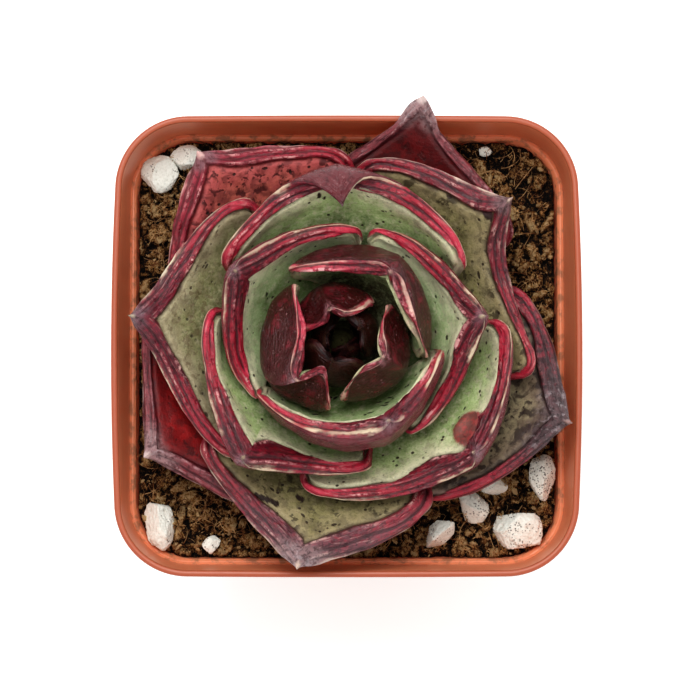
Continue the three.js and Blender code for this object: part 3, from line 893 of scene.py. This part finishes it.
def roundEdges(along, sideways, across, layer, length):
    # makes the blunt margin's corners round: points near a corner go onto a quarter round
    flat = plant["flatLayer"]
    eighth = math.pi / 4
    full = 0.99999
    toFace = np.clip((np.abs(layer) - flat) / (1 - flat), 0, 1)
    placed = []
    scale = np.ones(len(along))
    rims = ((along, along > full, length), (np.abs(across), np.abs(sideways) > full, plant["halfWidth"]))
    for value, onRim, far in rims:
        start = 1 - plant["roundReach"] * plant["edgeRound"] / far
        inward = np.clip((value - start) / (1 - start), 0, 1) * eighth
        turned = np.where(onRim, 2 * eighth - toFace * eighth, inward)
        placed.append(np.where(value > start, start + (1 - start) * np.sin(turned), value))
        shrink = flat + (1 - flat) * np.cos(turned)
        onSide = onRim & (np.abs(layer) < flat)
        shrink = np.where(onRim, shrink / np.maximum(np.abs(layer), flat), shrink)
        scale = np.minimum(scale, np.where(onSide, 1, shrink))
    return placed[0], np.sign(across) * placed[1], layer * scale


def nearestOn(points, line, batch=2000):
    # for each point, its nearest place on a line: which one, and how far it is
    best = np.empty(len(points), int)
    far = np.empty(len(points))
    for start in range(0, len(points), batch):
        these = slice(start, start + batch)
        gaps = np.linalg.norm(points[these, None, :] - line[None, :, :], axis=2)
        best[these] = gaps.argmin(axis=1)
        far[these] = gaps.min(axis=1)
    return best, far


def marginLines(index, sidePoints=60, endPoints=260):
    # the margin of the face and of the back, from the right base round the tip to the left base, and which
    # point of them is the tip
    up = np.linspace(0, 1, sidePoints)
    end = np.linspace(-1, 1, endPoints)
    along = np.concatenate([up, np.ones(endPoints), up[::-1]])
    across = np.concatenate([-np.ones(sidePoints), np.sign(end) * np.abs(end) ** 1.5, np.ones(sidePoints)])
    face, back = [leafPoints(index, along, across, np.full(len(along), side)) for side in (1.0, -1.0)]
    return face, back, sidePoints + endPoints // 2


def wander(values, step, seed):
    # a slow random curve of -1..1 read at each value
    return np.array([noise.noise(Vector((v * step, seed * 3.7, seed))) for v in values])


def marginRelief(rim, edge, fade, flow, seed):
    # raised ridges and grooves that run along the thick margin, in millimetres
    drift = wander(flow, 0.2, seed)
    second = wander(flow, 0.26, seed + 11)
    third = wander(flow, 0.5, seed + 23)
    strong = 1 - 0.75 * ease((fade - 0.5) / 0.5)
    ridge = 0.28 * (0.8 + 0.9 * second) * bell(edge, -0.3 + 0.3 * drift, 0.3)
    groove = -0.26 * (0.8 + 0.5 * drift) * bell(edge, 0.35 + 0.3 * second, 0.3)
    middle = 0.3 * (0.7 + 0.8 * drift) * bell(rim, -0.95 + 0.35 * drift + 0.15 * third, 0.22)
    crease = -0.24 * bell(rim, -0.5 + 0.35 * second, 0.18) - 0.2 * bell(rim, -1.45 + 0.25 * drift, 0.2)
    outer = 0.1 * bell(rim, -1.9 + 0.2 * third, 0.2)
    return (ridge + groove) * strong + (middle + crease) * strong + outer


def redMargin(index, flow, rim, across, seed):
    # how far along the red margin a point is, and how far inside or outside it on the face
    left, right = margins[index] if index < len(margins) else innermost
    leftShare = ease(0.5 + across * 2.2)
    end, tipReach, midReach = [mix(r, l, leftShare) for l, r in zip(left, right)]
    fade = np.abs(flow) / end
    inner = mix(tipReach, midReach, ease(fade / 0.5)) + 0.5 * wander(flow, 0.21, seed + 31)
    inner = mix(inner, -plant["bandDepth"], ease((fade - 0.55) / 0.45))
    for middle, width, extra in bulges.get(index, ()):
        inner = inner + extra * bell(flow, middle, width)
    return fade, rim - inner


def curlTip(points, tip, outward, hook):
    # bends the part past the hook's length over the face, round a smooth arc
    length, degrees = hook
    angle = math.radians(degrees)
    radius = length / angle
    away = Vector(outward).normalized()
    side = away.cross(Vector((0, 0, 1))).normalized()
    facing = side.cross(away).normalized()
    if facing.z < 0:
        facing = -facing
    away, facing = np.array(away), np.array(facing)
    pivot = tip - away * length
    reach = points - pivot
    along = reach @ away
    high = reach @ facing
    turned = np.clip(along / radius, 0, angle)
    past = np.maximum(along - length, 0)
    arm = radius - high
    curled = (pivot + reach - np.outer(along, away) - np.outer(high, facing)
              + np.outer(arm * np.sin(turned) + past * np.cos(turned), away)
              + np.outer(radius - arm * np.cos(turned) + past * np.sin(turned), facing))
    return np.where((along > 0)[:, None], curled, points)


def shapeTip(points, tip, outward, ending):
    # narrows the tip and draws it out
    narrow, drawn, over, sharpness = ending
    away = outward / np.linalg.norm(outward)
    near = ease(1 - np.linalg.norm(points - tip, axis=1) / over)[:, None]
    along = ((points - tip) @ away)[:, None] * away
    aside = points - tip - along
    return points - aside * narrow * near + away * drawn * near ** sharpness


def markValues(index, points, onFace):
    # 1 in the middle of a dark mark on the face, -1 in a red fold and 0 elsewhere
    values = np.zeros(len(points))
    for x0, y0, x1, y1, width, kind in marks.get(index, ()):
        start, step = np.array([x0, y0]), np.array([x1 - x0, y1 - y0])
        share = np.clip((points[:, :2] - start) @ step / (step @ step), 0, 1)
        gap = np.linalg.norm(points[:, :2] - start - share[:, None] * step, axis=1)
        values += kind * np.where(onFace, np.clip(1.4 - gap / width, 0, 1), 0)
    return values


def buildLeaf(index, materials):
    cells = plant["budCells"] if index >= firstBudLeaf else plant["cells"]
    bm = gridBox(cells)
    box = pointsOf(bm)
    along = 1 - (1 - np.clip(box[:, 0] + 0.5, 0, 1)) ** plant["crowding"]
    sideways = box[:, 1] * 2
    across = np.sign(sideways) * ease(np.abs(sideways))
    layer = box[:, 2] * 2
    handles = profileOf(bowlOf(index))
    length = float(np.linalg.norm(handles[3] - handles[0])) * plant["fullLength"]
    alongRound, acrossRound, layerRound = roundEdges(along, sideways, across, layer, length)
    points = leafPoints(index, alongRound, acrossRound, layerRound)

    faceLine, backLine, atTip = marginLines(index)
    steps = np.linalg.norm(np.diff(faceLine, axis=0), axis=1)
    walked = np.concatenate([[0], np.cumsum(steps)])
    faceNear, faceFar = nearestOn(points, faceLine)
    backNear, backFar = nearestOn(points, backLine)
    thick = np.linalg.norm(faceLine - backLine, axis=1)
    onFace = layer > plant["surface"]
    onBack = layer < -plant["surface"]
    rim = np.where(onFace, faceFar, -faceFar)
    rim = np.where(onBack, -(thick[backNear] + backFar), rim)
    flow = walked[np.where(onBack, backNear, faceNear)] - walked[atTip]
    tip = (faceLine[atTip] + backLine[atTip]) / 2
    tipAway = np.linalg.norm(points - tip, axis=1)
    seed = index + 1
    fade, edge = redMargin(index, flow, rim, across, seed)

    shown = between(along, 0.05, 0.3)
    relief = marginRelief(rim, edge, fade, flow, seed) * shown * between(tipAway, 0.3, 2)
    slow = np.array([noise.noise(Vector(p) * 0.13 + Vector((seed, 0, 0))) for p in points])
    quick = np.array([noise.noise(Vector(p) * 0.5 + Vector((0, seed, 0))) for p in points])
    broad, small = plant["swell"]
    swell = (broad * slow + small * quick) * shown
    movePoints(bm, points)
    bm.normal_update()
    normals = np.array([v.normal for v in bm.verts])
    mark = markValues(index, points, onFace)
    folded = plant["fold"] * bell(mark, -0.5, 0.3)
    points = points + normals * (relief + swell + folded)[:, None]
    middle = leafPoints(index, np.array([plant["tipBase"]]), np.array([0.0]), np.array([0.0]))[0]
    points = shapeTip(points, tip, tip - middle, tips.get(index, plainTip))
    if index in hooks:
        points = curlTip(points, tip, tip - middle, hooks[index])
    movePoints(bm, points * mm)
    bmesh.ops.recalc_face_normals(bm, faces=bm.faces)
    piece = newPiece(f"leafSkin_{index + 1:02d}", bm, materials[leaves[index][6]])
    apart = 100 * seed   # so that no two leaves share a pattern
    values = (rim, edge, fade, flow + apart, alongRound, tipAway, relief, mark)
    for name, value in zip(leafValues, values):
        storeValues(piece, name, value)
    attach(piece, "root")
    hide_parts(f"leaf_{index + 1:02d}")


# colours of 0..255 and lengths in millimetres: the face by the stem, darker as a painted shade, further out
# and by the margin, the red margin by the tip, halfway and where it ends, its creases, a colour also laid as
# painted shade in the grooves, and its ridges, a colour laid as painted highlights, and the back by the stem
# and further out; the last three say how much of the face is blotched, clouded and speckled
finishes = {
    "sage": {
        "face": ((52, 80, 30), (180, 206, 136), (230, 222, 192)), "blotch": (96, 84, 52),
        "red": ((112, 26, 42), (160, 28, 50), (208, 58, 84)), "crease": (52, 14, 20),
        "ridge": (232, 176, 172), "cream": (214, 194, 166), "tip": (134, 96, 104),
        "back": ((104, 100, 66), (104, 40, 46)), "tipReach": 2,
        "blotched": 0.25, "clouded": 0.12, "speckled": 1,
    },
    "beige": {
        "face": ((56, 58, 28), (146, 148, 100), (196, 184, 152)), "blotch": (100, 78, 56),
        "red": ((112, 36, 50), (158, 34, 54), (206, 64, 84)), "crease": (56, 18, 24),
        "ridge": (226, 184, 174), "cream": (216, 204, 176), "tip": (122, 92, 100),
        "back": ((98, 90, 64), (104, 42, 50)), "tipReach": 3,
        "blotched": 0.55, "clouded": 0.3, "speckled": 0.8,
    },
    "olive": {
        "face": ((52, 46, 22), (132, 126, 80), (166, 152, 116)), "blotch": (34, 22, 14),
        "red": ((112, 62, 70), (152, 44, 58), (200, 58, 76)), "crease": (58, 30, 34),
        "ridge": (226, 190, 178), "cream": (222, 196, 178), "tip": (150, 124, 124),
        "back": ((92, 80, 62), (104, 48, 54)), "tipReach": 5.5,
        "blotched": 0.8, "clouded": 0.35, "speckled": 1,
    },
    "salmon": {
        "face": ((118, 34, 32), (182, 98, 82), (190, 92, 92)), "blotch": (62, 10, 12),
        "red": ((150, 46, 62), (172, 40, 58), (196, 60, 80)), "crease": (84, 16, 24),
        "ridge": (226, 168, 164), "cream": (222, 180, 172), "tip": (128, 92, 98),
        "back": ((96, 60, 50), (112, 44, 50)), "tipReach": 3,
        "blotched": 1, "clouded": 0.55, "speckled": 1,
    },
    "wine": {
        "face": ((48, 3, 3), (108, 7, 9), (86, 7, 11)), "blotch": (60, 2, 4),
        "red": ((130, 62, 68), (144, 40, 52), (170, 50, 62)), "crease": (64, 16, 24),
        "ridge": (212, 178, 178), "cream": (214, 190, 184), "tip": (150, 120, 120),
        "back": ((90, 66, 54), (108, 46, 54)), "tipReach": 5,
        "blotched": 0.8, "clouded": 0.5, "speckled": 0.3,
    },
    "dusk": {
        "face": ((54, 44, 30), (170, 158, 124), (118, 98, 84)), "blotch": (50, 38, 34),
        "red": ((80, 40, 46), (168, 42, 62), (176, 50, 68)), "crease": (38, 20, 22),
        "ridge": (164, 122, 120), "cream": (170, 136, 128), "tip": (88, 68, 70),
        "back": ((84, 72, 58), (92, 44, 50)), "tipReach": 9,
        "blotched": 1, "clouded": 0.85, "speckled": 1,
    },
    "bud": {
        "face": ((60, 56, 30), (176, 200, 138), (210, 216, 170)), "blotch": (70, 20, 24),
        "red": ((126, 38, 50), (190, 54, 76), (212, 84, 104)), "crease": (56, 10, 18),
        "ridge": (240, 186, 186), "cream": (226, 190, 172), "tip": (164, 110, 116),
        "back": ((42, 20, 14), (66, 14, 18)), "tipReach": 1.5,
        "blotched": 0.4, "clouded": 0.3, "speckled": 0.5,
    },
    # shadedHeart colours the innermost leaves near-black: painted shade in the rosette's middle
    "shadedHeart": {
        "face": ((14, 4, 3), (44, 10, 8), (48, 12, 9)), "blotch": (16, 6, 6),
        "red": ((40, 14, 14), (64, 20, 22), (72, 30, 30)), "crease": (14, 5, 5),
        "ridge": (96, 56, 50), "cream": (80, 52, 42), "tip": (60, 30, 26),
        "back": ((24, 8, 6), (50, 12, 10)), "tipReach": 1,
        "blotched": 1, "clouded": 0.5, "speckled": 0.5,
    },
}
# litSage is the sage finish with a lighter face: painted light on the faces of the inner leaves
finishes["litSage"] = {**finishes["sage"], "face": ((128, 158, 96), (204, 222, 168), (230, 222, 192))}
finishes["moss"] = {
    **finishes["olive"], "red": ((120, 40, 52), (156, 34, 52), (204, 56, 76)), "tip": (124, 98, 100),
    "tipReach": 3,
}
# litWine is the wine finish with a lighter red face: painted highlight
finishes["litWine"] = {
    **finishes["wine"], "face": ((70, 4, 4), (166, 13, 15), (112, 10, 14)), "clouded": 0.3,
}


def leafPaint(name, look):
    paint = Paint(name + " leaf")
    at = paint.place()
    rim, edge, fade, flow, reach, tipAway, relief, mark = map(paint.attribute, leafValues)
    shadeAndDarkMottle, middle, pale = map(linear, look["face"])
    maroon, crimson, bright = map(linear, look["red"])
    backBase, back = map(linear, look["back"])
    crease, ridge, cream, blotch = [linear(look[key]) for key in ("crease", "ridge", "cream", "blotch")]

    fine = paint.noise(at, 3.2, 4, 0.6)
    cloud = paint.noise(at, 0.55, 4, 0.6)
    patch = paint.noise(at, 1.1, 4, 0.65)
    wisp = paint.noise(paint.vector(flow * 0.9, rim * 0.35), 0.8, 4, 0.6)
    streak = paint.noise(paint.vector(flow * 0.3, rim * 1.25), 1, 4, 0.62, 0.8)
    hair = paint.noise(paint.vector(flow * 0.6, rim * 3.4, 3), 1, 3, 0.6, 0.4)
    blot = paint.noise(at, 1.6, 4, 0.65)
    stretch = paint.noise(paint.vector(flow * 0.16, 0, 7), 1, 2)

    # the open face: darker by the stem, a painted shade, pale towards the margin, with dark flecks, some of
    # them drawn out along the leaf
    shade = paint.noise(at, 0.7, 3, 0.5, 0.6).between(0.44, 0.62)
    mottle = paint.noise(at, 1, 3, 0.55, 0.3).between(0.55, 0.6) * paint.noise(at, 0.3, 2).between(0.42, 0.55)
    long = paint.cells(paint.vector(flow * 0.5, rim), 0.9).between(0.2, 0.13)
    long = long * paint.noise(at, 0.4, 2).between(0.5, 0.56)
    dots = paint.cells(at, 0.85).between(0.2, 0.13) * paint.noise(at, 0.33, 2).between(0.46, 0.54)
    flecks = (long + dots).clamp() * look["speckled"]
    stain = (mark + fine * 0.5 - 0.25).between(0.35, 0.75)
    face = paint.layers(
        # the face starts dark by the stem and lightens outwards: painted shade
        shadeAndDarkMottle,
        ((reach + cloud * 0.4 - 0.2).between(0.34, 0.78), middle),
        ((edge + wisp * 4 - 2).between(4, 0.5) * 0.8, pale),
        (cloud.between(0.5, 0.68) * 0.5, shadeAndDarkMottle),
        (patch.between(0.5, 0.66) * 0.45, pale),
        (fine.between(0.35, 0.7) * 0.25, pale),
        (fine.between(0.5, 0.3) * 0.3, shadeAndDarkMottle),
        (shade * look["clouded"], blotch),
        (mottle * look["blotched"] * 0.85, blotch),
        ((flecks * 0.9 + stain).clamp(), linear(plant["fleck"])))
    fold = paint.mix(patch.between(0.4, 0.56), crimson, maroon)
    blunt = paint.mix(wisp.between(0.4, 0.6) * 0.5, cream, middle)

    # the red margin: maroon by the tip, crimson along the side and bright where it ends, with painted
    # highlights on its ridges and painted shade in its grooves
    lit = relief.between(0.08, 0.24) * blot.between(0.56, 0.44)
    band = paint.layers(
        maroon,
        ((fade + patch * 0.6 - 0.3).between(0.15, 0.5), crimson),
        ((fade + patch * 0.4 - 0.2).between(0.5, 0.85), bright),
        (streak.between(0.54, 0.38) * (1 - fade * 0.6).clamp() * 0.7, crease),
        (blot.between(0.52, 0.62) * fade.between(0.95, 0.3) * 0.65, crease),
        (blot.between(0.46, 0.36) * 0.4, crimson),
        # thin pink-white lines along the red: painted highlights
        (hair.between(0.56, 0.72) * 0.3, ridge),
        # pink-white on the raised ridges: painted highlight
        (lit * stretch.between(0.44, 0.6) * 0.8, ridge),
        # darker where the margin's relief dips: painted shade in the grooves
        (relief.between(-0.03, -0.14) * 0.75, crease))
    fromBand = edge + (wisp * 0.7 + streak * 0.5 - 0.6)
    onBand = fromBand.between(0.14, -0.1)
    # a dark line on the face along the inner edge of the red: painted shade in the groove there
    grooveShade = fromBand.between(0.7, 0.1) * (1 - onBand) * stretch.between(0.34, 0.52)

    # the back, with a cream line along the outer side of the margin, partly the margin's own pale edge and
    # partly a painted highlight, and broader cream streaks that are a painted highlight
    behind = paint.layers(
        backBase,
        ((reach + patch * 0.3 - 0.15).between(0.35, 0.8), back),
        (patch.between(0.48, 0.66) * 0.55, crease),
        (cloud.between(0.5, 0.7) * 0.25, crimson),
        # pale pink flecks on the back: painted highlight
        (fine.between(0.52, 0.75) * patch.between(0.5, 0.38) * 0.35, ridge))
    onBack = (rim + cloud * 0.6).between(-1.9, -2.4)
    fromLine = (rim + 2 + wisp * 0.8 - 0.4).math("ABSOLUTE")
    line = fromLine.between(0.36, 0.08) * (stretch.between(0.44, 0.54) + fade.between(0.4, 0.8)).clamp()
    broad = fromLine.between(1, 0.3) * stretch.between(0.52, 0.62) * hair.between(0.35, 0.6)

    # the tip: grey and purple with a pale point
    tipEdge = tipAway + cloud * 3 - 1.5 + rim.math("MAXIMUM", 0)
    onTip = tipEdge.between(look["tipReach"], look["tipReach"] * 0.4)
    dusky = paint.layers(
        linear(look["tip"]),
        (blot.between(0.46, 0.64) * 0.8, crease),
        (patch.between(0.52, 0.66) * 0.5, linear(plant["bloom"])))
    onPoint = (tipAway + fine * 0.4).between(1.1, 0.5)

    # the thick edge past the red is pale green
    colour = paint.layers(
        face,
        ((mark + fine * 0.3 - 0.15).between(-0.2, -0.5) * 0.9, fold),
        (rim.between(0.3, -0.4) * 0.7, blunt),
        (grooveShade * 0.85, crease),
        (onBand, band),
        (onBack, behind),
        # the cream line is partly the margin's own pale edge and partly painted highlight; the broader cream
        # streaks are painted highlight
        ((line * 0.8 + broad * 0.4).clamp(), cream),
        (onTip * 0.8, dusky),
        (onPoint * 0.8, cream))

    gloss = 0.46 - onBand * 0.2 - onBack * 0.16 + fine * 0.14
    skin = fine * 0.5 + hair * onBand * 1.6 + paint.noise(at, 9, 2) * 0.35
    normal = paint.bump(skin + patch * onBack * 1.5 - flecks * 0.8, 0.00016)
    return paint.finish(
        Base_Color=colour, Roughness=gloss, Normal=normal, Specular_IOR_Level=0.5,
        Subsurface_Weight=plant["glow"], Subsurface_Radius=plant["glowReach"], Subsurface_Scale=mm)


materials = {name: leafPaint(name, look) for name, look in finishes.items()}
for index in range(len(leaves)):
    buildLeaf(index, materials)
print("leaves ready")

# stem


def stemPaint():
    paint = Paint("green stem")
    at = paint.place()
    rings = paint.noise(paint.place((400, 400, 2400)), 1, 4).between(0.35, 0.65)
    colour = paint.mix(rings, linear(plant["stemBrown"]), linear(plant["stemGreen"]))
    return paint.finish(Base_Color=colour, Roughness=0.6, Normal=paint.bump(paint.noise(at, 3, 4), 0.0001))


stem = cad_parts["stem"]
stem.data.materials.clear()
stem.data.materials.append(stemPaint())
print("stem ready")
